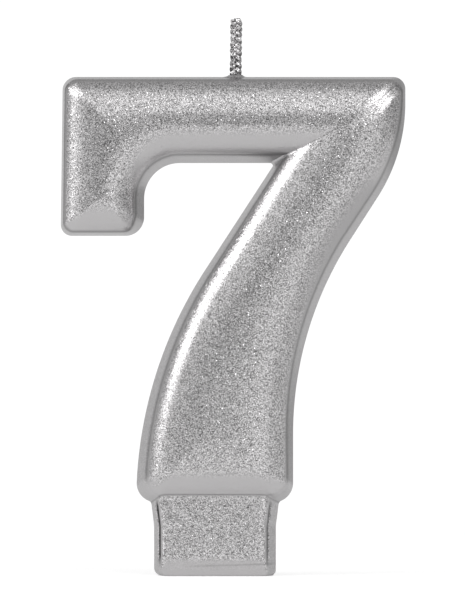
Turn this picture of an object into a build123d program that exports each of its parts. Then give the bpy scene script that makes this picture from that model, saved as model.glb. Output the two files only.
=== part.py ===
from build123d import *
import math
import os

# Birthday candle in the form of the numeral 7: a wax casting under a thin metallic coat, with a
# plaited wick. Millimetres. X is to the right of the numeral, Y is from its front to its back and
# Z is up. The origin is the centre of the foot's underside, on which the candle stands.

# --- Numeral: outline in the X-Z plane -------------------------------------------------------
TOP = 74.25                   # top of the bar
BAR_BOTTOM = 61.4             # underside of the bar
SERIF_BOTTOM = 50.57          # lower end of the serif at the left of the bar
STEM_BOTTOM = 10.9            # lower end of the numeral, where the foot begins
LEFT_TOP_X = -22.65           # outer side of the serif, at the top
LEFT_LOW_X = -22.97           # outer side of the serif, at its lower end
SERIF_X = -10.5               # inner side of the serif
ARMPIT_RADIUS = 5.3           # concave round between the serif and the bar
STEM_LEFT_RADIUS = 63.4       # convex sweep of the stem's left side
STEM_LEFT_X = -11.73          # left side of the stem at its lower end
STEM_LEAN = 33.1              # degrees, lean of the stem's straight upper left side
STEM_ELBOW_X = 8.8            # corner where the stem's left side meets the underside of the bar
STEM_RIGHT_X = 11.68          # right side of the stem at its lower end
RIGHT_LOW_Z = 21.06           # the stem's right side is upright below this height
RIGHT_LOW_RADIUS = 53.4       # concave sweep of the stem's right side
RIGHT_LEAN = 32.7             # degrees, steepest lean of the right side
RIGHT_RUN = 7.64              # straight length between the two sweeps
RIGHT_TOP_RADIUS = 25.95      # convex sweep below the top right corner
CORNER_TOP_LEFT = 2.0         # radii of the outline's corners
CORNER_TOP_RIGHT = 1.8
CORNER_SERIF_LEFT = 1.7
CORNER_SERIF_RIGHT = 2.8
CORNER_STEM_LEFT = 3.0
CORNER_STEM_RIGHT = 2.9

# --- Numeral: section -------------------------------------------------------------------------
EDGE_RADIUS = 6.3             # the sides are full rounds, so the numeral is twice this thick
REACH = 80.0                  # how far a side's profile runs inwards, past the whole numeral
RUN_ON = 16.0                 # how far a straight side runs on past a convex corner

# --- Foot that is pushed into the cake --------------------------------------------------------
FOOT_LEFT_X = -9.05
FOOT_RIGHT_X = 9.13
FOOT_FLARE = 0.42             # the foot is this much wider each side at its neck
FLARE_START = 7.6             # height where the flare starts
FOOT_TOP = 13.0               # the foot runs this high inside the numeral
PAD_LEFT_X = -8.0             # flat front and back faces of the foot
PAD_RIGHT_X = 7.4
FOOT_HALF_THICKNESS = 3.6
CHISEL_HEIGHT = 3.1           # the foot thins towards its underside below this height
CHISEL_HALF_THICKNESS = 2.45
FOOT_CORNER_LEFT = 1.2
FOOT_CORNER_RIGHT = 0.7
WAX_FOOT_CORNER = 1.7         # the wax is rounder there, so that the coat's rim is not a knife edge
PAD_ROUND = 0.5               # rounding between the flat faces and the slopes round them

# --- Coat -------------------------------------------------------------------------------------
COAT = 0.2                    # thickness of the metallic skin

# --- Wick -------------------------------------------------------------------------------------
WICK_X = 3.1                  # where it leaves the bar
WICK_TIP = 83.0               # top of the longest strand, the candle's overall height
WICK_DEPTH = 10.4             # length set in the wax
WICK_LEAN = 0.8               # degrees, towards the serif
STRAND_RADIUS = 0.2
PLAIT_PITCH = 2.73            # one strand's full turn of the plait
PLAIT_X = 0.7                 # corners of a strand's zigzag, across the plait
PLAIT_Y = 0.75                # and through it, where the bends cut the corners
BEND_RADIUS = 0.3             # a strand's bend at the side of the plait
STRAND_TRIMS = (0.35, 0.0, 0.15)      # how far each strand is cut below the tip
BORE_WIDTH = 1.84
BORE_THICKNESS = 1.4
BORE_CORNER = 0.38

UP = Vector(0, 0, 1)
BACKWARDS = Vector(0, 1, 0)


def at(x, z):
    """A point of the outline, in the mid-plane."""
    return Vector(x, 0, z)


def heading(degrees):
    """Unit vector in the mid-plane, counted from +X towards +Z."""
    angle = math.radians(degrees)
    return Vector(math.cos(angle), 0, math.sin(angle))


def side_profile(plane, edge, inward, inset, reach):
    """Section across one side: a half-round nose, then a flat slab that runs inwards to reach.

    The plane's x axis crosses the side. edge is the outline's place on it, and inward is +1 or -1.
    """
    half = EDGE_RADIUS - inset
    nose = edge + inward * EDGE_RADIUS
    far = edge + inward * reach
    slab = Polyline((nose, half), (far, half), (far, -half), (nose, -half))
    round_nose = ThreePointArc((nose, -half), (edge + inward * inset, 0), (nose, half))
    return plane * make_face([slab.edges(), round_nose.edges()])


def straight_side(start, end, inset, before=0.0, after=0.0):
    """Half-round slab along a straight side, with the numeral on the left of the way to end."""
    way = (end - start).normalized()
    inwards = Vector(-way.Z, 0, way.X)
    plane = Plane(origin=start - way * before, x_dir=inwards, z_dir=way)
    return extrude(side_profile(plane, 0, 1, inset, REACH), amount=(end - start).length + before + after)


def curved_side(centre, radius, first, last, convex, inset):
    """Half-round slab along an arc from first to last, in degrees from +X towards +Z."""
    plane = Plane(origin=centre, x_dir=heading(first), z_dir=heading(first + 90))
    inward = -1 if convex else 1
    reach = radius if convex else REACH
    section = side_profile(plane, radius, inward, inset, reach)
    return revolve(section, Axis(centre, -BACKWARDS), last - first)


def corner_cut(corner, side_a, side_b, radius, inset):
    """Prism between a sharp corner of the outline and its round. side_a and side_b point away from it."""
    bisector = (side_a + side_b).normalized()
    half_angle = math.radians(side_a.get_angle(side_b)) / 2
    centre = corner + bisector * (radius / math.sin(half_angle))
    tangent_a = corner + side_a * (radius / math.tan(half_angle))
    tangent_b = corner + side_b * (radius / math.tan(half_angle))
    outside = corner - bisector * radius
    front = Plane.XZ
    blank = make_face(Polyline([(p.X, p.Z) for p in (centre, tangent_a, outside, tangent_b)], close=True))
    waste = blank - Pos(centre.X, centre.Z) * Circle(radius - inset)
    return extrude(front * waste, amount=2 * EDGE_RADIUS, both=True)


def bar_and_serif(inset):
    """Bar with the serif that hangs from its left end, open to the right."""
    armpit = at(SERIF_X + ARMPIT_RADIUS, BAR_BOTTOM - ARMPIT_RADIUS)
    serif_side = straight_side(at(SERIF_X, SERIF_BOTTOM), at(SERIF_X, armpit.Z), inset, before=RUN_ON)
    armpit_side = curved_side(armpit, ARMPIT_RADIUS, 90, 180, False, inset)
    bar_side = straight_side(at(armpit.X, BAR_BOTTOM), at(STEM_ELBOW_X, BAR_BOTTOM), inset, after=2 * RUN_ON)
    inner = serif_side + armpit_side + bar_side
    low = straight_side(at(LEFT_LOW_X, SERIF_BOTTOM), at(SERIF_X, SERIF_BOTTOM), inset, RUN_ON, 3 * RUN_ON)
    return inner & low


def stem(inset):
    """Stem, bounded on its left and below, open to the right and above."""
    centre = at(STEM_LEFT_X + STEM_LEFT_RADIUS, STEM_BOTTOM)
    sweep_end = centre + heading(180 - STEM_LEAN) * STEM_LEFT_RADIUS
    rise = heading(90 - STEM_LEAN)
    elbow = sweep_end + rise * ((STEM_ELBOW_X - sweep_end.X) / rise.X)
    upper = straight_side(elbow, sweep_end, inset, before=2 * RUN_ON)
    lower = curved_side(centre, STEM_LEFT_RADIUS, 180 - STEM_LEAN, 185, True, inset)
    base = straight_side(at(STEM_LEFT_X, STEM_BOTTOM), at(STEM_RIGHT_X, STEM_BOTTOM), inset, RUN_ON, 2 * RUN_ON)
    return (upper + lower) & base


def right_side(inset):
    """Everything left of the numeral's right side, from the lower end to the top right corner."""
    low = at(STEM_RIGHT_X, RIGHT_LOW_Z)
    low_centre = low + Vector(RIGHT_LOW_RADIUS, 0, 0)
    run_start = low_centre + heading(180 - RIGHT_LEAN) * RIGHT_LOW_RADIUS
    run_end = run_start + heading(90 - RIGHT_LEAN) * RIGHT_RUN
    top_centre = run_end - heading(-RIGHT_LEAN) * RIGHT_TOP_RADIUS
    top_start = top_centre + Vector(RIGHT_TOP_RADIUS, 0, 0)
    return (
        straight_side(low - UP * RUN_ON, low, inset)
        + curved_side(low_centre, RIGHT_LOW_RADIUS, 180 - RIGHT_LEAN, 180, False, inset)
        + straight_side(run_start, run_end, inset)
        + curved_side(top_centre, RIGHT_TOP_RADIUS, -RIGHT_LEAN, 0, True, inset)
        + straight_side(top_start, top_start + UP * RUN_ON, inset)
    ), top_start.X


def numeral(inset):
    """The whole numeral, inset all round from the outer surface."""
    right, right_x = right_side(inset)
    top = straight_side(at(right_x, TOP), at(LEFT_TOP_X, TOP), inset, RUN_ON, RUN_ON)
    left = straight_side(at(LEFT_TOP_X, TOP), at(LEFT_LOW_X, SERIF_BOTTOM), inset, RUN_ON, 3 * RUN_ON)
    body = (bar_and_serif(inset) + stem(inset)) & right & top & left
    left_down = (at(LEFT_LOW_X, SERIF_BOTTOM) - at(LEFT_TOP_X, TOP)).normalized()
    leftwards = heading(180)
    rightwards = heading(0)
    corners = (
        (at(LEFT_TOP_X, TOP), left_down, rightwards, CORNER_TOP_LEFT),
        (at(right_x, TOP), leftwards, -UP, CORNER_TOP_RIGHT),
        (at(LEFT_LOW_X, SERIF_BOTTOM), -left_down, rightwards, CORNER_SERIF_LEFT),
        (at(SERIF_X, SERIF_BOTTOM), UP, leftwards, CORNER_SERIF_RIGHT),
        (at(STEM_LEFT_X, STEM_BOTTOM), UP, rightwards, CORNER_STEM_LEFT),
        (at(STEM_RIGHT_X, STEM_BOTTOM), UP, leftwards, CORNER_STEM_RIGHT),
    )
    for corner, side_a, side_b, radius in corners:
        body -= corner_cut(corner, side_a, side_b, radius, inset)
    return body


def foot(inset, left_corner, right_corner):
    """Foot below the numeral, drafted towards its flat front and back and thinner at its underside."""
    half = FOOT_HALF_THICKNESS
    left = FOOT_LEFT_X - FOOT_FLARE
    right = FOOT_RIGHT_X + FOOT_FLARE
    plan = make_face(Polyline(
        (left, 0), (PAD_LEFT_X, -half), (PAD_RIGHT_X, -half),
        (right, 0), (PAD_RIGHT_X, half), (PAD_LEFT_X, half), close=True,
    ))
    slope = (half - CHISEL_HALF_THICKNESS) / CHISEL_HEIGHT
    sole = CHISEL_HALF_THICKNESS - slope * CHISEL_HEIGHT
    profile = make_face(Polyline(
        (-sole, -CHISEL_HEIGHT), (sole, -CHISEL_HEIGHT), (half, CHISEL_HEIGHT),
        (half, 2 * FOOT_TOP), (-half, 2 * FOOT_TOP), (-half, CHISEL_HEIGHT), close=True,
    ))
    front = make_face(Polyline(
        (FOOT_LEFT_X + inset, 0), (FOOT_RIGHT_X - inset, 0), (FOOT_RIGHT_X - inset, FLARE_START),
        (right - inset, STEM_BOTTOM), (right - inset, FOOT_TOP), (left + inset, FOOT_TOP),
        (left + inset, STEM_BOTTOM), (FOOT_LEFT_X + inset, FLARE_START), close=True,
    ))
    low_corners = front.vertices().group_by(Axis.Y)[0].sort_by(Axis.X)
    front = fillet(low_corners[0], left_corner)
    front = fillet(front.vertices().group_by(Axis.Y)[0].sort_by(Axis.X)[-1], right_corner)
    if inset:
        plan = offset(plan, -inset, kind=Kind.INTERSECTION)
        profile = offset(profile, -inset, kind=Kind.INTERSECTION)
    block = extrude(plan, amount=FOOT_TOP)
    block = block & extrude(Plane.YZ * profile, amount=2 * FOOT_RIGHT_X, both=True)
    block = block & extrude(Plane.XZ * front, amount=2 * half, both=True)
    pad_edges = [e for e in block.edges() if abs(e.center().Y) > half - inset - PAD_ROUND / 2]
    pad_edges = [e for e in pad_edges if e.center().Z < FOOT_TOP - PAD_ROUND]
    return fillet(pad_edges, PAD_ROUND - inset)


def on_bar(shape):
    """Set a shape that is modelled upright round the wick's root into the top of the bar."""
    return Pos(WICK_X, 0, TOP) * Rot(0, -WICK_LEAN, 0) * shape


def wick_bore():
    """Space that the wick fills in the wax and the coat."""
    outline = RectangleRounded(BORE_WIDTH, BORE_THICKNESS, BORE_CORNER)
    return on_bar(Pos(0, 0, -WICK_DEPTH) * extrude(outline, amount=2 * WICK_DEPTH))


def wick_strand(turn, trim):
    """One strand of the plait, which runs from side to side and from front to back."""
    zigzag = ((PLAIT_X, PLAIT_Y), (PLAIT_X, -PLAIT_Y), (-PLAIT_X, PLAIT_Y), (-PLAIT_X, -PLAIT_Y))
    quarters = 4 * math.ceil((WICK_TIP - TOP + WICK_DEPTH) / PLAIT_PITCH + 2)
    start = -WICK_DEPTH - PLAIT_PITCH * (1 + turn)
    route = []
    for quarter in range(quarters):
        x, y = zigzag[quarter % 4]
        route.append((x, y, start + quarter * PLAIT_PITCH / 4))
    path = FilletPolyline(*route, radius=BEND_RADIUS)
    tube = sweep(Plane(origin=path @ 0, z_dir=path % 0) * Circle(STRAND_RADIUS), path=path)
    length = WICK_TIP - TOP - trim + WICK_DEPTH
    kept = Pos(0, 0, -WICK_DEPTH) * Box(4, 4, length, align=(Align.CENTER, Align.CENTER, Align.MIN))
    return on_bar(tube & kept)


def write(name, shape):
    """One named piece, one STEP file."""
    shape.label = name
    export_step(shape, f"parts/{name}.step")


os.makedirs("parts", exist_ok=True)
casting = numeral(COAT) + foot(COAT, WAX_FOOT_CORNER, WAX_FOOT_CORNER)
outside = numeral(0.0) + foot(0.0, FOOT_CORNER_LEFT, FOOT_CORNER_RIGHT)
bore = wick_bore()
write("wax_core", casting - bore)
write("silver_coat", outside - casting - bore)
for number, trim in enumerate(STRAND_TRIMS):
    write(f"wick_strand_{number + 1}", wick_strand(number / len(STRAND_TRIMS), trim))
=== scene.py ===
import math

import bmesh
import bpy
import numpy as np
from mathutils import Matrix, Vector


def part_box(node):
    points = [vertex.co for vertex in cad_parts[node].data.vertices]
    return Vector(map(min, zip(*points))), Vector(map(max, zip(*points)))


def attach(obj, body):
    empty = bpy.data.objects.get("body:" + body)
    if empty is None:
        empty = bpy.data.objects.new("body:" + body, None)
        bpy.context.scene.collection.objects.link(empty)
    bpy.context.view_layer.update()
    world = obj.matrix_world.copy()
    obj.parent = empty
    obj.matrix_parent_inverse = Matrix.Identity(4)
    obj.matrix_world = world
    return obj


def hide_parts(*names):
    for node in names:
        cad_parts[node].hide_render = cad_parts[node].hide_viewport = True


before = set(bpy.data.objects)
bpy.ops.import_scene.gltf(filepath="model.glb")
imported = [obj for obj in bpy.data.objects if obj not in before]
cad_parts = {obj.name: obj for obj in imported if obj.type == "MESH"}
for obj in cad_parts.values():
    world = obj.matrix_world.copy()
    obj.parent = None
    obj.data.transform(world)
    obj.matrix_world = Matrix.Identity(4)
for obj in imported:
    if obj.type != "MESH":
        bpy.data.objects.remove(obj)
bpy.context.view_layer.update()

# Birthday candle in the form of the numeral 7, metallic silver. The candle's shape is worked out in
# millimetres in the part's own frame and turned into metres when a mesh is made.

MM = 0.001
coat_low, coat_high = (np.array(corner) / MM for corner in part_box("silver_coat"))

# --- Numeral: outline in the X-Z plane, millimetres ------------------------------------------------
TOP = coat_high[2]
RIGHT_X = coat_high[0]
LEFT_LOW_X = coat_low[0]
LEFT_TOP_X = LEFT_LOW_X + 0.3
BAR_BOTTOM = TOP - 12.85
SERIF_BOTTOM = TOP - 23.68
SERIF_X = LEFT_LOW_X + 12.45
ARMPIT_RADIUS = 5.3
STEM_BOTTOM = 10.9
STEM_LEFT_X = -11.73
STEM_LEFT_RADIUS = 63.4
STEM_LEAN = math.radians(33.1)
STEM_RIGHT_X = 11.68
RIGHT_LOW_Z = 21.06
RIGHT_LOW_RADIUS = 53.4
RIGHT_LEAN = math.radians(32.7)
RIGHT_RUN = 7.64
RIGHT_TOP_RADIUS = 25.95
TOP_LEFT_CORNER = 2.0
TOP_RIGHT_CORNER = 1.8
SERIF_OUTER_CORNER = 1.7
SERIF_INNER_CORNER = 2.8
STEM_LEFT_CORNER = 3.0
STEM_RIGHT_CORNER = 2.9
CORNER_CHANGE = 8.0           # how gradually one end corner's radius turns into the other's

# --- Numeral: section across a side -----------------------------------------------------------------
WALL_HEIGHT = 3.15            # steep drafted wall at the parting line
CROWN = 3.1                   # how much the rounded face rises above the wall
CROWN_RUN = 2.2               # how fast it levels out
LEVEL_DEPTH = 6.4             # where sides with walls of any width reach the same height
MEAN_WALL = 0.8
TOP_WALL = 0.45               # width of the wall, side by side
LEFT_WALL = 0.4
UNDER_WALL = 1.15
SERIF_END_WALL = 0.5
STEM_END_WALL = 0.95
STEM_LEFT_WALL = ((12, 1.45), (45, 0.95), (60, 0.75))              # height and width there
RIGHT_WALL = ((14, 0.8), (50, 1.15), (62, 0.9), (71, 0.45))
WALL_CHANGE = 0.7             # how gradually the width changes where two sides meet
GROOVE = 0.22                 # depth of the crease between wall and face
GROOVE_WIDTH = 0.2
GROOVE_PLACE = 0.05           # how far inside the wall's edge it is deepest
CREST_BLEND = 3.0             # rounding where two opposite sides meet
HIP_SPREAD = 0.6              # how much rounder the corners get towards the crest
TOP_RIGHT_SPREAD = 1.2        # the same for the corner over the stem
RIDGE = 0.09                  # blunting of the parting line

# --- Foot ---------------------------------------------------------------------------------------------
FOOT_LEFT_X = -9.05
FOOT_RIGHT_X = 9.13
FOOT_FLARE = 0.42
FLARE_START = 7.4
FOOT_LEFT_ROUND = 1.2         # rounding of its lower corners
FOOT_RIGHT_ROUND = 0.7
PAD = 3.6                     # half the distance between the foot's flat faces
FOOT_RIM = 2.55               # half thickness at the inner edge of its walls
FOOT_RUN = 0.5                # how fast the walls round up to the flat face
FOOT_LEFT_CREASE = 0.7        # depth of the crease at each wall
FOOT_RIGHT_CREASE = 0.4
FOOT_BLEND = 0.3
CHISEL_HEIGHT = 3.1           # the foot thins below this height
CHISEL_SLOPE = 0.38
CHISEL_BLEND = 0.2
SOLE_ROUND = 0.2
FOOT_LEFT_WALL = 0.9
FOOT_RIGHT_WALL = 1.3
FOOT_REACH = 16.0             # height up to which it runs inside the numeral

# --- Coat and wick ------------------------------------------------------------------------------------
COAT = 0.2                    # thickness of the coat
WAX_GAP = 0.02                # how much further in the wax is moved than the coat's inside
WICK_DEPTH = 10.4             # how deep the wick's hole goes
WICK_X = 3.1
BORE_X = 3.0
BORE_HALF_WIDTH = 0.92
BORE_HALF_THICKNESS = 0.7
BORE_SQUARENESS = 0.6         # 1 for an ellipse, less for a fuller slot
BORE_SIDES = 32
PLUG_SIZE = (2.6, 2.4, 11.6)  # block that fills the CAD casting's hole
PLUG_DROP = 6.0               # its middle, below the top of the numeral
JOINT_BLEND = 0.5             # rounding where foot and numeral meet
COLLAR_WIDTH = 1.25           # width to thickness of the collar of coat round the wick's root
COLLAR_SLOPE = 0.55
COLLAR_DROP = 0.4             # its middle, below the top of the numeral
COLLAR_HALF_HEIGHT = 0.8
COLLAR_BLEND = 0.35
CRUMBS = (((1.95, -0.5, TOP + 0.05), 0.22), ((1.55, -0.35, TOP + 0.02), 0.15))   # centre and radius
CRUMB_BLEND = 0.1
WICK_TIP = 83.0
WICK_LEAN = math.tan(math.radians(0.8))
PLAIT_PITCH = 2.73
PLAIT_X = 0.52                # how far a yarn weaves to either side
PLAIT_Y = 0.3                 # and to front and back
YARN_WIDTH = 0.36             # half width of a yarn
YARN_THICKNESS = 0.25         # half thickness
YARN_LOBES = 0.12             # its plies show as lobes
YARN_PLIES = 3
YARN_TWIST = 9.0              # radians per millimetre
YARN_TRIMS = (0.35, 0.0, 0.15)   # how far each yarn ends below the tip
YARN_FRAY = 0.05              # unevenness of the cut end
YARN_RINGS = 260
YARN_SIDES = 20

# --- Meshes -------------------------------------------------------------------------------------------
FINE = 0.17                   # mesh size of the coat
COARSE = 0.32                 # mesh size of the wax and of the coat's inside
ROUGH = 0.7                   # mesh size of the first draft of each
SNAP_ROUNDS = 6
SNAP_PROBE = 0.01             # distance over which slopes are measured
SNAP_LIMIT = 0.6              # longest move in a round
FLATTEST_SLOPE = 0.05         # squared slope that a move is worked out with at least

# --- Paint ----------------------------------------------------------------------------------------------
SILVER_DOUBLED = (1.11, 1.09, 1.10, 1)   # twice the colour of an average flake
FLAKE = 0.1 * MM              # size of a metal flake
FLAKE_SHARE = 0.3             # share of the flakes that don't lie flat
FLAKE_SLANT = 0.6             # how far the steepest flakes lean
FLAKE_CONTRAST = 0.85         # how much they differ in brightness
WICK_FLAKE = 0.17 * MM
WICK_FLAKE_SHARE = 0.8
WICK_FLAKE_SLANT = 1.6
WICK_FLAKE_CONTRAST = 0.9
PAINT_ROUGHNESS = 0.28
RIM_FACING = (0.3, 0.7)       # size of the normal's Y on a rim and on a face
# colour left on the rims, against 1 on the faces: painted shade
RIM_PAINTED_SHADE = 0.9
# Flakes that show on upward faces and not on downward ones are painted sparkle: it follows where light falls
# from above.
FLAKE_FACING = (0.5, 0.8)     # the same, for how clearly the flakes show
RIM_FLAKES = 0.25
DOWNWARD = (-0.42, -0.12)     # the normal's Z below which they don't show, and above which they do
WAX_TONES = ((0.76, 0.75, 0.72, 1), (0.86, 0.85, 0.82, 1))
WAX_CLOUD = 4 * MM


# --- Shape of the casting as a function of place ---------------------------------------------------------
def line_distance(x, z, x0, z0, angle):
    """Distance from a line through (x0, z0), positive on the side that angle, in radians, points to."""
    return (x - x0) * math.cos(angle) + (z - z0) * math.sin(angle)


def left_distance(x, z):
    """Inwards from the serif's outer side."""
    tilt = math.atan2(LEFT_TOP_X - LEFT_LOW_X, TOP - SERIF_BOTTOM)
    return line_distance(x, z, LEFT_LOW_X, SERIF_BOTTOM, -tilt)


def under_bar_distance(x, z):
    """Inwards from the serif's inner side, the round above it and the underside of the bar."""
    armpit_x = SERIF_X + ARMPIT_RADIUS
    armpit_z = BAR_BOTTOM - ARMPIT_RADIUS
    round_part = np.hypot(x - armpit_x, z - armpit_z) - ARMPIT_RADIUS
    beside = np.where(z < armpit_z, SERIF_X - x, round_part)
    return np.where(x > armpit_x, z - BAR_BOTTOM, beside)


def stem_left_distance(x, z):
    """Inwards from the stem's left side: a long convex sweep, then a straight lean."""
    centre_x = STEM_LEFT_X + STEM_LEFT_RADIUS
    turn = np.arctan2(z - STEM_BOTTOM, centre_x - x)
    sweep = STEM_LEFT_RADIUS - np.hypot(x - centre_x, z - STEM_BOTTOM)
    end_x = centre_x - STEM_LEFT_RADIUS * math.cos(STEM_LEAN)
    end_z = STEM_BOTTOM + STEM_LEFT_RADIUS * math.sin(STEM_LEAN)
    lean = line_distance(x, z, end_x, end_z, -STEM_LEAN)
    upper = np.where(turn > STEM_LEAN, lean, sweep)
    return np.where(z < STEM_BOTTOM, x - STEM_LEFT_X, upper)


def right_distance(x, z):
    """Inwards from the right side: upright, concave sweep, straight, convex sweep, upright."""
    low_x = STEM_RIGHT_X + RIGHT_LOW_RADIUS
    turn = np.arctan2(z - RIGHT_LOW_Z, low_x - x)
    low_sweep = np.hypot(x - low_x, z - RIGHT_LOW_Z) - RIGHT_LOW_RADIUS
    run_x = low_x - RIGHT_LOW_RADIUS * math.cos(RIGHT_LEAN)
    run_z = RIGHT_LOW_Z + RIGHT_LOW_RADIUS * math.sin(RIGHT_LEAN)
    along = line_distance(x, z, run_x, run_z, math.pi / 2 - RIGHT_LEAN)
    run = line_distance(x, z, run_x, run_z, math.pi - RIGHT_LEAN)
    top_x = RIGHT_X - RIGHT_TOP_RADIUS
    top_z = run_z + RIGHT_RUN * math.cos(RIGHT_LEAN) + RIGHT_TOP_RADIUS * math.sin(RIGHT_LEAN)
    top_sweep = RIGHT_TOP_RADIUS - np.hypot(x - top_x, z - top_z)
    upper = np.where(z > top_z, RIGHT_X - x, top_sweep)
    middle = np.where(along > RIGHT_RUN, upper, run)
    swept = np.where(turn > RIGHT_LEAN, middle, low_sweep)
    return np.where(z < RIGHT_LOW_Z, STEM_RIGHT_X - x, swept)


def rounded_corner(a, b, radius):
    """Smaller of two inward distances, with the given radius where they meet."""
    outside = np.hypot(np.maximum(radius - a, 0), np.maximum(radius - b, 0))
    return np.maximum(radius, np.minimum(a, b)) - outside


def hip(a, b, corner, spread=HIP_SPREAD):
    """Like rounded_corner, but rounder towards the crest."""
    edge = np.maximum(rounded_corner(a, b, corner), 0)
    return rounded_corner(a, b, corner + spread * edge)


def crest(a, b):
    """Smaller of two distances, rounded over the ridge where they are equal."""
    gap = np.maximum(CREST_BLEND - np.abs(a - b), 0) / CREST_BLEND
    return np.minimum(a, b) - gap * gap * CREST_BLEND / 4


def by_side(a, b, at_a, at_b):
    """Goes from at_a beside side a to at_b beside side b."""
    return at_a + (at_b - at_a) * np.clip(0.5 + (a - b) / CORNER_CHANGE, 0, 1)


def width_at(z, table):
    """Width of a wall at a height, from pairs of height and width."""
    heights, widths = zip(*table)
    return np.interp(z, heights, widths)


def numeral_depth(x, z):
    """How far inside the numeral's outline a place is, and the width of the wall of the side it is near."""
    top = TOP - z
    left = left_distance(x, z)
    right = right_distance(x, z)
    under = under_bar_distance(x, z)
    serif_end = z - SERIF_BOTTOM
    stem_left = stem_left_distance(x, z)
    stem_end = z - STEM_BOTTOM
    serif_corner = by_side(left, under, SERIF_OUTER_CORNER, SERIF_INNER_CORNER)
    stem_corner = by_side(stem_left, right, STEM_LEFT_CORNER, STEM_RIGHT_CORNER)
    hook = hip(crest(hip(top, left, TOP_LEFT_CORNER), under), serif_end, serif_corner)
    leg = hip(crest(stem_left, right), stem_end, stem_corner)
    hook = hip(hook, right, TOP_RIGHT_CORNER, TOP_RIGHT_SPREAD)
    leg = hip(leg, top, TOP_RIGHT_CORNER, TOP_RIGHT_SPREAD)
    depth = np.maximum(hook, leg)
    on_leg = leg >= hook
    sides = (
        (top, TOP_WALL, True),
        (right, width_at(z, RIGHT_WALL), True),
        (left, LEFT_WALL, ~on_leg),
        (under, UNDER_WALL, ~on_leg),
        (serif_end, SERIF_END_WALL, ~on_leg),
        (stem_left, width_at(z, STEM_LEFT_WALL), on_leg),
        (stem_end, STEM_END_WALL, on_leg),
    )
    total = 0.0
    wall = 0.0
    for distance, width, belongs in sides:
        weight = (np.exp(-np.abs(distance - depth) / WALL_CHANGE) + 1e-9) * belongs
        total = total + weight
        wall = wall + weight * width
    return depth, wall / total


def line(offset, width):
    """1 on a line, falling to 0 within about the given width."""
    return np.exp(-(offset / width) ** 2)


def numeral_field(x, y, z):
    """About the distance from the numeral's surface, negative inside."""
    depth, wall = numeral_depth(x, z)
    run = CROWN_RUN * (LEVEL_DEPTH - wall) / (LEVEL_DEPTH - MEAN_WALL)
    rise = np.exp(-np.maximum(depth - wall, 0) / run)
    on_wall = depth < wall
    half = np.where(on_wall, WALL_HEIGHT * depth / wall, WALL_HEIGHT + CROWN * (1 - rise))
    half = half - GROOVE * line(depth - wall - GROOVE_PLACE, GROOVE_WIDTH)
    slope = np.where(on_wall, WALL_HEIGHT / wall, CROWN / run * rise)
    return (np.sqrt(y * y + RIDGE * RIDGE) - RIDGE - half) / np.sqrt(1 + slope * slope)


def soft_min(a, b, blend):
    """Smaller of two values, rounded over the given width."""
    gap = np.maximum(blend - np.abs(a - b), 0) / blend
    return np.minimum(a, b) - gap * gap * blend / 4


def foot_side(depth, wall, crease):
    """Half thickness of the foot across one side: a steep rim, a crease, then a quick round up to the pad."""
    beyond_wall = PAD - (PAD - FOOT_RIM) * np.exp(-(depth - wall) / FOOT_RUN)
    half = np.where(depth < wall, FOOT_RIM * depth / wall, beyond_wall)
    return half - crease * line(depth - wall, GROOVE_WIDTH)


def rounded_off(z, radius):
    """How far a lower corner of the given radius has come in at a height."""
    return radius - np.sqrt(np.maximum(radius * radius - np.maximum(radius - z, 0) ** 2, 0))


def foot_depths(x, z):
    """Distances inwards from the foot's left and right sides."""
    flare = FOOT_FLARE * np.clip((z - FLARE_START) / (STEM_BOTTOM - FLARE_START), 0, 1)
    left = x - FOOT_LEFT_X + flare - rounded_off(z, FOOT_LEFT_ROUND)
    right = FOOT_RIGHT_X + flare - rounded_off(z, FOOT_RIGHT_ROUND) - x
    return left, right


def along_foot(z):
    """1 along the foot's sides, falling to 0 near its lower end and inside the numeral."""
    return np.clip((z - 1.5) / 1.5, 0, 1) * np.clip((11.5 - z) / 1.0, 0, 1)


def foot_field(x, y, z):
    """About the distance from the foot's surface, negative inside."""
    left, right = foot_depths(x, z)
    below = np.logaddexp(0, (CHISEL_HEIGHT - z) / CHISEL_BLEND) * CHISEL_BLEND
    chisel = PAD - CHISEL_SLOPE * below - SOLE_ROUND * np.maximum(1 - z, 0) ** 2
    crease = along_foot(z)
    left_half = foot_side(left, FOOT_LEFT_WALL, FOOT_LEFT_CREASE * crease)
    right_half = foot_side(right, FOOT_RIGHT_WALL, FOOT_RIGHT_CREASE * crease)
    half = soft_min(left_half, right_half, FOOT_BLEND)
    half = soft_min(half, chisel, FOOT_BLEND)
    face = (np.sqrt(y * y + RIDGE * RIDGE) - RIDGE - half) / 1.5
    return np.maximum(np.maximum(face, -z), z - FOOT_REACH)


def ball_field(x, y, z, centre, radius):
    """Distance from a ball's surface, negative inside."""
    return np.sqrt((x - centre[0]) ** 2 + (y - centre[1]) ** 2 + (z - centre[2]) ** 2) - radius


def candle_field(x, y, z):
    """About the distance from the whole casting's surface, in millimetres, negative inside."""
    body = soft_min(numeral_field(x, y, z), foot_field(x, y, z), JOINT_BLEND)
    across = np.hypot((x - WICK_X) / COLLAR_WIDTH, y)
    cone = across - 1.0 + COLLAR_SLOPE * (z - TOP)
    collar = np.maximum(cone, np.abs(z - TOP + COLLAR_DROP) - COLLAR_HALF_HEIGHT)
    body = soft_min(body, collar, COLLAR_BLEND)
    for centre, radius in CRUMBS:
        body = soft_min(body, ball_field(x, y, z, centre, radius), CRUMB_BLEND)
    return body


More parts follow.
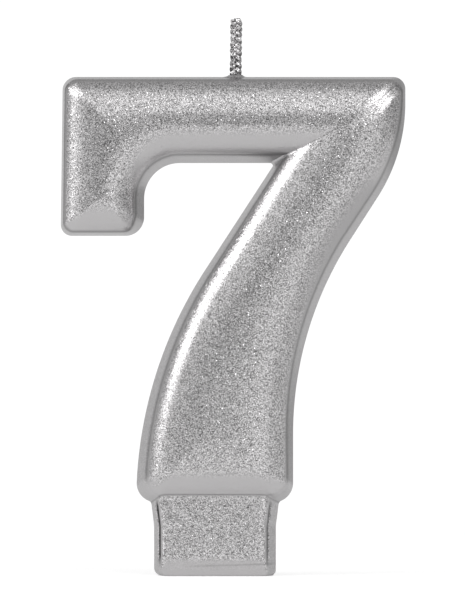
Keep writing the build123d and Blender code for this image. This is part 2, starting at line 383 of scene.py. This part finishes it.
def painted_crease_shade(x, y, z):
    """Painted shade at a place, 0 for none and 1 for the darkest: dark lines in the creases, along the foot's
    walls and where foot and numeral meet, and a dark line low across the foot.
    """
    depth, wall = numeral_depth(x, z)
    left, right = foot_depths(x, z)
    numeral = 0.4 * line(depth - wall - 0.1, 0.17) * np.clip((z - 13.5) / 1.5, 0, 1)
    numeral = numeral * np.clip((TOP - z - 0.8) / 0.6, 0.3, 1)
    foot = along_foot(z) * (line(left - FOOT_LEFT_WALL, 0.15) + 0.6 * line(right - FOOT_RIGHT_WALL, 0.15))
    foot = foot + 0.25 * line(z - 1.6 - 0.03 * x, 0.12) * np.clip((x + 5) / 4, 0, 1)
    gap = numeral_field(x, y, z) - foot_field(x, y, z)
    joint = 0.45 * line(gap, 0.14) * (z < 14)
    return np.maximum(np.where(gap < 0, numeral, foot), joint)


# --- Meshes --------------------------------------------------------------------------------------------
def snap(points):
    """Moves points, in millimetres, onto the candle's surface, where its field is 0."""
    for _ in range(SNAP_ROUNDS):
        x, y, z = points.T
        here = candle_field(x, y, z)
        slopes = [
            (candle_field(x + dx, y + dy, z + dz) - candle_field(x - dx, y - dy, z - dz)) / (2 * SNAP_PROBE)
            for dx, dy, dz in np.eye(3) * SNAP_PROBE
        ]
        slopes = np.array(slopes).T
        size = np.maximum((slopes * slopes).sum(axis=1), FLATTEST_SLOPE)
        move = -slopes * (here / size)[:, None]
        length = np.linalg.norm(move, axis=1, keepdims=True)
        points = points + move * np.minimum(1, SNAP_LIMIT / np.maximum(length, 1e-9))
    return points


def new_object(name, mesh):
    made = bpy.data.objects.new(name, mesh)
    bpy.context.scene.collection.objects.link(made)
    return made


def applied(obj):
    """The object's mesh with its modifiers applied, which then replaces its own mesh."""
    graph = bpy.context.evaluated_depsgraph_get()
    mesh = bpy.data.meshes.new_from_object(obj.evaluated_get(graph))
    obj.modifiers.clear()
    obj.data = mesh
    return obj


def remeshed(obj, size):
    """The object's mesh as even quads of the given size."""
    modifier = obj.modifiers.new("voxels", "REMESH")
    modifier.mode = "VOXEL"
    modifier.voxel_size = size
    return applied(obj)


def per_point(mesh, what):
    """Array of three numbers a point: its place, "co", or its normal, "normal"."""
    flat = np.empty(len(mesh.vertices) * 3)
    mesh.vertices.foreach_get(what, flat)
    return flat.reshape(-1, 3)


def set_points(mesh, points):
    mesh.vertices.foreach_set("co", points.ravel())
    mesh.update()


def casting(name, shrink, size):
    """Closed mesh of the candle's body, moved in by shrink from its outer surface, in millimetres.

    It starts from the CAD casting, whose hole is first filled by a block.
    """
    seed = bmesh.new()
    seed.from_mesh(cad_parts["wax_core"].data)
    bmesh.ops.scale(seed, vec=(1 / MM,) * 3, verts=seed.verts)
    plug = bmesh.ops.create_cube(seed, size=1)["verts"]
    bmesh.ops.scale(seed, vec=PLUG_SIZE, verts=plug)
    bmesh.ops.translate(seed, vec=(WICK_X, 0, TOP - PLUG_DROP), verts=plug)
    mesh = bpy.data.meshes.new(name)
    seed.to_mesh(mesh)
    seed.free()
    made = new_object(name, mesh)
    for voxel in (ROUGH, size):
        remeshed(made, voxel)
        set_points(made.data, snap(per_point(made.data, "co")))
    places = per_point(made.data, "co")
    set_points(made.data, places - shrink * per_point(made.data, "normal"))
    return made


def cut_away(obj, cutter):
    """Cuts the cutter's volume out of obj and discards the cutter."""
    modifier = obj.modifiers.new("cut", "BOOLEAN")
    modifier.operation = "DIFFERENCE"
    modifier.solver = "MANIFOLD"
    modifier.object = cutter
    applied(obj)
    spent = cutter.data
    bpy.data.objects.remove(cutter)
    bpy.data.meshes.remove(spent)


def prism(name, outline, low, high):
    """Closed upright prism with the given plan outline."""
    shape = bmesh.new()
    floor = [shape.verts.new((x, y, low)) for x, y in outline]
    roof = [shape.verts.new((x, y, high)) for x, y in outline]
    shape.faces.new(floor[::-1])
    shape.faces.new(roof)
    for here in range(len(outline)):
        there = (here + 1) % len(outline)
        shape.faces.new((floor[here], floor[there], roof[there], roof[here]))
    mesh = bpy.data.meshes.new(name)
    shape.to_mesh(mesh)
    shape.free()
    return new_object(name, mesh)


def bore(name):
    """The hole the wick is cast into: an upright rounded slot."""
    outline = []
    for turn in np.linspace(0, 2 * math.pi, BORE_SIDES, endpoint=False):
        across = np.sign(math.cos(turn)) * abs(math.cos(turn)) ** BORE_SQUARENESS
        along = np.sign(math.sin(turn)) * abs(math.sin(turn)) ** BORE_SQUARENESS
        outline.append((BORE_X + BORE_HALF_WIDTH * across, BORE_HALF_THICKNESS * along))
    return prism(name, outline, TOP - WICK_DEPTH, TOP + 2)


def finished(obj, node):
    """Scales obj to metres and stands it in for a CAD node."""
    obj.data.transform(Matrix.Scale(MM, 4))
    for face in obj.data.polygons:
        face.use_smooth = True
    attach(obj, "root")
    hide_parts(node)
    return obj


def store_painted_crease_shade(obj):
    """Stores the painted shade of the creases on the mesh, which is still in millimetres."""
    shade = painted_crease_shade(*per_point(obj.data, "co").T)
    layer = obj.data.attributes.new("crease", "FLOAT", "POINT")
    layer.data.foreach_set("value", shade.astype(np.float32))


coat = casting("silver_coat_skin", 0.0, FINE)
cut_away(coat, casting("cavity", COAT, COARSE))
cut_away(coat, bore("coat_bore"))
store_painted_crease_shade(coat)
finished(coat, "silver_coat")
wax = casting("wax_core_casting", COAT + WAX_GAP, COARSE)
cut_away(wax, bore("wax_bore"))
finished(wax, "wax_core")


def yarn(name, turn, trim):
    """One yarn of the plait: closed tube that weaves from side to side and from front to back."""
    low, high = TOP - WICK_DEPTH + 0.02, WICK_TIP - trim
    z = np.linspace(low, high, YARN_RINGS)
    phase = 2 * math.pi * ((z - TOP) / PLAIT_PITCH + turn)
    path_x = WICK_X + WICK_LEAN * (z - TOP) + PLAIT_X * np.sin(phase)
    path = np.stack([path_x, PLAIT_Y * np.sin(2 * phase), z])
    along = np.gradient(path, axis=1)
    along /= np.linalg.norm(along, axis=0)
    across = np.cross(along, np.array([[0], [1], [0]]), axis=0)
    across /= np.linalg.norm(across, axis=0)
    through = np.cross(across, along, axis=0)
    turns = np.linspace(0, 2 * math.pi, YARN_SIDES, endpoint=False)
    shape = bmesh.new()
    rings = []
    for ring in range(YARN_RINGS):
        swell = 1 + YARN_LOBES * np.cos(YARN_PLIES * turns + YARN_TWIST * z[ring])
        offsets = (
            np.outer(across[:, ring], YARN_WIDTH * swell * np.cos(turns))
            + np.outer(through[:, ring], YARN_THICKNESS * swell * np.sin(turns))
        )
        points = path[:, ring:ring + 1] + offsets
        frayed = high - YARN_FRAY * (1 - np.cos(5 * turns + ring))
        points[2] = np.clip(points[2], low, frayed)
        rings.append([shape.verts.new(point) for point in points.T])
    for lower, upper in zip(rings, rings[1:]):
        for here in range(YARN_SIDES):
            there = (here + 1) % YARN_SIDES
            shape.faces.new((lower[here], lower[there], upper[there], upper[here]))
    shape.faces.new(rings[0][::-1])
    shape.faces.new(rings[-1])
    bmesh.ops.recalc_face_normals(shape, faces=shape.faces)
    mesh = bpy.data.meshes.new(name)
    shape.to_mesh(mesh)
    shape.free()
    return new_object(name, mesh)


yarns = []
for number, trim in enumerate(YARN_TRIMS):
    made = yarn(f"wick_yarn_{number + 1}", number / len(YARN_TRIMS), trim)
    yarns.append(finished(made, f"wick_strand_{number + 1}"))


# --- Materials -------------------------------------------------------------------------------------------
def new_material(name):
    material = bpy.data.materials.new(name)
    material.use_nodes = True
    nodes = material.node_tree.nodes
    return material, nodes, material.node_tree.links, nodes["Principled BSDF"]


def node_math(nodes, links, operation, first, second=None):
    """Adds a maths node. Each input is a socket or a number."""
    node = nodes.new("ShaderNodeMath")
    node.operation = operation
    for socket, value in zip(node.inputs, (first, second)):
        if value is None:
            continue
        if isinstance(value, (int, float)):
            socket.default_value = value
        else:
            links.new(value, socket)
    return node.outputs[0]


def flake_normal(nodes, links, flakes, share, slant):
    """Normal of the surface, leant by a random amount inside each flake."""
    lottery = nodes.new("ShaderNodeTexWhiteNoise")
    links.new(flakes.outputs["Position"], lottery.inputs["Vector"])
    drawn = node_math(nodes, links, "SUBTRACT", lottery.outputs["Value"], 1 - share)
    steepness = node_math(nodes, links, "MAXIMUM", node_math(nodes, links, "DIVIDE", drawn, share), 0.0)
    centred = nodes.new("ShaderNodeVectorMath")
    centred.operation = "SUBTRACT"
    centred.inputs[1].default_value = (0.5, 0.5, 0.5)
    links.new(flakes.outputs["Color"], centred.inputs[0])
    lean = nodes.new("ShaderNodeVectorMath")
    lean.operation = "SCALE"
    links.new(node_math(nodes, links, "MULTIPLY", steepness, slant), lean.inputs["Scale"])
    links.new(centred.outputs[0], lean.inputs[0])
    geometry = nodes.new("ShaderNodeNewGeometry")
    leant = nodes.new("ShaderNodeVectorMath")
    links.new(geometry.outputs["Normal"], leant.inputs[0])
    links.new(lean.outputs[0], leant.inputs[1])
    unit = nodes.new("ShaderNodeVectorMath")
    unit.operation = "NORMALIZE"
    links.new(leant.outputs[0], unit.inputs[0])
    return unit.outputs[0]


def ramped(nodes, links, value, low, high, bottom=0.0):
    """Rises smoothly from bottom to 1 as value goes from low to high."""
    node = nodes.new("ShaderNodeMapRange")
    node.interpolation_type = "SMOOTHSTEP"
    node.inputs["From Min"].default_value = low
    node.inputs["From Max"].default_value = high
    node.inputs["To Min"].default_value = bottom
    links.new(value, node.inputs["Value"])
    return node.outputs["Result"]


def facing(nodes, links):
    """X, Y and Z of the surface's normal."""
    geometry = nodes.new("ShaderNodeNewGeometry")
    split = nodes.new("ShaderNodeSeparateXYZ")
    links.new(geometry.outputs["Normal"], split.inputs[0])
    return split.outputs


def painted_rim_shade(nodes, links):
    """1 on the front and back faces and a little less on the rims, which face sideways, up or down: painted
    shade on the rims.
    """
    faceward = node_math(nodes, links, "ABSOLUTE", facing(nodes, links)["Y"])
    return ramped(nodes, links, faceward, *RIM_FACING, RIM_PAINTED_SHADE)


def flake_show_where_lit(nodes, links, even):
    """How clearly the flakes show: 1 on faces, less on the rims and 0 where the surface looks down, so their
    sparkle is painted only where light falls from above.

    With even they show alike all over.
    """
    if even:
        return 1.0
    normal = facing(nodes, links)
    painted_lit_from_above = ramped(nodes, links, normal["Z"], *DOWNWARD)
    faceward = node_math(nodes, links, "ABSOLUTE", normal["Y"])
    on_face = ramped(nodes, links, faceward, *FLAKE_FACING, RIM_FLAKES)
    return node_math(nodes, links, "MULTIPLY", painted_lit_from_above, on_face)


def silver_paint(name, size, share, slant, contrast, even):
    """Metallic paint with flakes of the given size. A share of them lean, up to slant.

    contrast is how much the flakes differ in brightness, and even makes that the same on every face.
    """
    material, nodes, links, shader = new_material(name)
    place = nodes.new("ShaderNodeTexCoord")
    flakes = nodes.new("ShaderNodeTexVoronoi")
    flakes.inputs["Scale"].default_value = 1 / size
    links.new(place.outputs["Object"], flakes.inputs["Vector"])
    links.new(flake_normal(nodes, links, flakes, share, slant), shader.inputs["Normal"])
    split = nodes.new("ShaderNodeSeparateColor")
    links.new(flakes.outputs["Color"], split.inputs[0])
    # flake contrast, gone where the surface looks down: painted sparkle
    amount = node_math(nodes, links, "MULTIPLY", flake_show_where_lit(nodes, links, even), contrast)
    drawn = node_math(nodes, links, "SUBTRACT", split.outputs[0], 0.5)
    swing = node_math(nodes, links, "MULTIPLY", drawn, amount)
    shade = nodes.new("ShaderNodeMix")
    shade.data_type = "RGBA"
    shade.inputs["A"].default_value = (0, 0, 0, 1)
    shade.inputs["B"].default_value = SILVER_DOUBLED
    # mean colour, lower on the rims: painted shade
    mean = node_math(nodes, links, "MULTIPLY", painted_rim_shade(nodes, links), 0.5)
    # The crease attribute darkens the colour: painted shade along the creases and where foot and numeral
    # meet.
    crease = nodes.new("ShaderNodeAttribute")
    crease.attribute_name = "crease"
    unshaded = node_math(nodes, links, "SUBTRACT", 1.0, crease.outputs["Fac"])
    tone = node_math(nodes, links, "MULTIPLY", node_math(nodes, links, "ADD", swing, mean), unshaded)
    links.new(tone, shade.inputs["Factor"])
    links.new(shade.outputs["Result"], shader.inputs["Base Color"])
    shader.inputs["Metallic"].default_value = 1.0
    shader.inputs["Roughness"].default_value = PAINT_ROUGHNESS
    return material


def plain_wax():
    """Paraffin wax: milky, a little light passes into it."""
    material, nodes, links, shader = new_material("wax")
    cloud = nodes.new("ShaderNodeTexNoise")
    cloud.inputs["Scale"].default_value = 1 / WAX_CLOUD
    place = nodes.new("ShaderNodeTexCoord")
    links.new(place.outputs["Object"], cloud.inputs["Vector"])
    tone = nodes.new("ShaderNodeMix")
    tone.data_type = "RGBA"
    tone.inputs["A"].default_value, tone.inputs["B"].default_value = WAX_TONES
    links.new(cloud.outputs["Fac"], tone.inputs["Factor"])
    links.new(tone.outputs["Result"], shader.inputs["Base Color"])
    shader.inputs["Roughness"].default_value = 0.45
    shader.inputs["Subsurface Weight"].default_value = 0.3
    shader.inputs["Subsurface Radius"].default_value = (1.0, 0.9, 0.8)
    shader.inputs["Subsurface Scale"].default_value = 1.5 * MM
    return material


def pale_floor():
    """Matt pale floor that glows a little, and more where the camera sees it, so that it comes out white."""
    material, nodes, links, shader = new_material("pale_floor")
    shader.inputs["Base Color"].default_value = (0.8, 0.8, 0.8, 1)
    shader.inputs["Roughness"].default_value = 0.8
    shader.inputs["Emission Color"].default_value = (1, 1, 1, 1)
    seen = nodes.new("ShaderNodeLightPath").outputs["Is Camera Ray"]
    glow = node_math(nodes, links, "ADD", node_math(nodes, links, "MULTIPLY", seen, 0.25), 0.22)
    links.new(glow, shader.inputs["Emission Strength"])
    return material


def paint(obj, material):
    obj.data.materials.clear()
    obj.data.materials.append(material)


paint(coat, silver_paint("silver_paint", FLAKE, FLAKE_SHARE, FLAKE_SLANT, FLAKE_CONTRAST, False))
paint(wax, plain_wax())
glitter = silver_paint(
    "silver_glitter", WICK_FLAKE, WICK_FLAKE_SHARE, WICK_FLAKE_SLANT, WICK_FLAKE_CONTRAST, True
)
for made in yarns:
    paint(made, glitter)


# --- Studio ------------------------------------------------------------------------------------------------
CENTRE = Vector((2.64, 0, 41.48)) * MM
CAMERA_DISTANCE = 1.1
VIEW_HEIGHT = 88.44 * MM
FLOOR_RADIUS = 0.3
LIGHT_DISTANCE = 0.8


def direction(off_axis, round_from_up):
    """Unit vector off_axis degrees from the way to the camera, turned from up towards +X."""
    a, b = math.radians(off_axis), math.radians(round_from_up)
    return Vector((math.sin(a) * math.sin(b), -math.cos(a), math.sin(a) * math.cos(b)))


def add_camera():
    data = bpy.data.cameras.new("camera")
    data.sensor_width = 36
    data.lens = 36 * CAMERA_DISTANCE / VIEW_HEIGHT
    data.clip_start = 0.05
    data.clip_end = 20
    camera = new_object("camera", data)
    camera.location = CENTRE + Vector((0, -CAMERA_DISTANCE, 0))
    camera.rotation_euler = (math.pi / 2, 0, 0)
    bpy.context.scene.camera = camera


def softbox(name, toward, width, height, radiance):
    """Rectangular area light that faces the candle. radiance is what a mirror would see in it."""
    data = bpy.data.lights.new(name, "AREA")
    data.shape = "RECTANGLE"
    data.size = width
    data.size_y = height
    data.energy = radiance * math.pi * width * height
    light = new_object(name, data)
    light.location = CENTRE + toward * LIGHT_DISTANCE
    light.rotation_euler = (-toward).to_track_quat("-Z", "Y").to_euler()
    light.visible_camera = False


def add_floor():
    mesh = bpy.data.meshes.new("floor")
    grid = bmesh.new()
    bmesh.ops.create_circle(grid, cap_ends=True, segments=96, radius=FLOOR_RADIUS)
    grid.to_mesh(mesh)
    grid.free()
    floor = new_object("floor", mesh)
    floor.data.materials.append(pale_floor())


def add_flag():
    """Grey card low on the right that only reflections see: it shades the right flank."""
    x, front, back, height = 0.055, -0.06, 0.025, 0.042
    corners = ((x, front, 0), (x, back, 0), (x, back, height), (x, front, height))
    mesh = bpy.data.meshes.new("flag")
    mesh.from_pydata(corners, [], [(0, 1, 2, 3)])
    flag = new_object("flag", mesh)
    material, _, _, shader = new_material("grey_card")
    shader.inputs["Base Color"].default_value = (0.02, 0.02, 0.02, 1)
    shader.inputs["Emission Color"].default_value = (1, 1, 1, 1)
    shader.inputs["Emission Strength"].default_value = 0.6
    flag.data.materials.append(material)
    flag.visible_camera = False
    flag.visible_diffuse = False
    flag.visible_shadow = False


# Light that comes from everywhere, and soft glows in it. A glow is given by its place, as degrees off the way
# to the camera and degrees round from up towards +X, its reach in degrees, and its brightness at the middle.
# The camera end of the studio is dark.
EVEN_LIGHT = 0.45
GLOWS = {
    "upper_front": (34, 0, 46, 0.55),
    "right_front": (26, 90, 34, 0.35),
    "lower_front": (16, 180, 28, 0.35),
    "left_side": (68, -90, 34, 0.35),
    "behind_left": (155, -90, 50, 0.35),
    "camera": (2, 180, 24, -0.62),
}


def add_sky():
    """Studio walls, as even light with soft glows. The camera itself sees plain white."""
    world = bpy.data.worlds.new("studio")
    bpy.context.scene.world = world
    world.use_nodes = True
    nodes = world.node_tree.nodes
    links = world.node_tree.links
    place = nodes.new("ShaderNodeTexCoord")
    total = EVEN_LIGHT
    for off_axis, round_from_up, reach, level in GLOWS.values():
        closeness = nodes.new("ShaderNodeVectorMath")
        closeness.operation = "DOT_PRODUCT"
        closeness.inputs[1].default_value = direction(off_axis, round_from_up)
        links.new(place.outputs["Generated"], closeness.inputs[0])
        glow = ramped(nodes, links, closeness.outputs["Value"], math.cos(math.radians(reach)), 1.0)
        total = node_math(nodes, links, "ADD", node_math(nodes, links, "MULTIPLY", glow, level), total)
    light = nodes["Background"]
    links.new(total, light.inputs["Strength"])
    light.inputs["Color"].default_value = (1, 1, 1, 1)
    plain = nodes.new("ShaderNodeBackground")
    plain.inputs["Color"].default_value = (1, 1, 1, 1)
    plain.inputs["Strength"].default_value = 1.05
    path = nodes.new("ShaderNodeLightPath")
    mix = nodes.new("ShaderNodeMixShader")
    links.new(path.outputs["Is Camera Ray"], mix.inputs[0])
    links.new(light.outputs[0], mix.inputs[1])
    links.new(plain.outputs[0], mix.inputs[2])
    links.new(mix.outputs[0], nodes["World Output"].inputs["Surface"])


add_camera()
add_floor()
add_sky()
softbox("left_box", direction(69, -60), 0.3, 0.42, 3.7)
softbox("upper_left_box", direction(58, -36), 0.24, 0.24, 1.6)
softbox("low_left_box", direction(74, -86), 0.2, 0.2, 0.6)
softbox("right_box", direction(45, 45), 0.3, 0.3, 3.7)
add_flag()
bpy.context.scene.view_settings.view_transform = "Standard"
